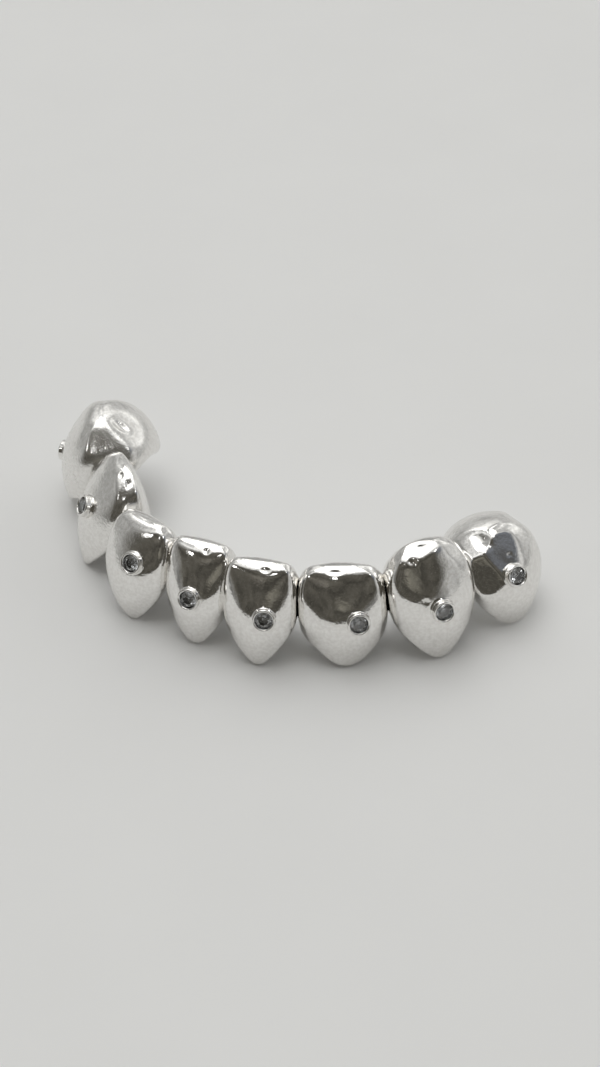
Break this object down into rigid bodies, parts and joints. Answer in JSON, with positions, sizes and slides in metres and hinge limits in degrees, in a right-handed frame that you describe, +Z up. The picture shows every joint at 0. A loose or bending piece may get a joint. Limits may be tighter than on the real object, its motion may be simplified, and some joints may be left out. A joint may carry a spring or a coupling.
{
  "type": "grillz tooth cover",
  "caption": "Row of hollow polished metal caps that slips over the lower front teeth, each cap with a small cut stone in a raised collar",
  "frame": {"origin": "under the middle of the bounding box, on the surface that the row rests on", "axes": "+X along the row from the wearer's right to the wearer's left, +Y from the lips to the tongue, +Z up from the gum edge to the biting edge"},
  "size_m": [0.046, 0.0204, 0.0101],
  "materials": {
    "polished_metal": "mirror polish with a faint waviness",
    "cut_stone": "clear, cut in flat facets"
  },
  "bodies": {
    "root": {"cap_row": "polished_metal", "right_premolar_stone": "cut_stone", "right_canine_stone": "cut_stone", "right_lateral_stone": "cut_stone", "right_central_stone": "cut_stone", "left_central_stone": "cut_stone", "left_lateral_stone": "cut_stone", "left_canine_stone": "cut_stone", "left_premolar_stone": "cut_stone"}
  },
  "joints": []
}
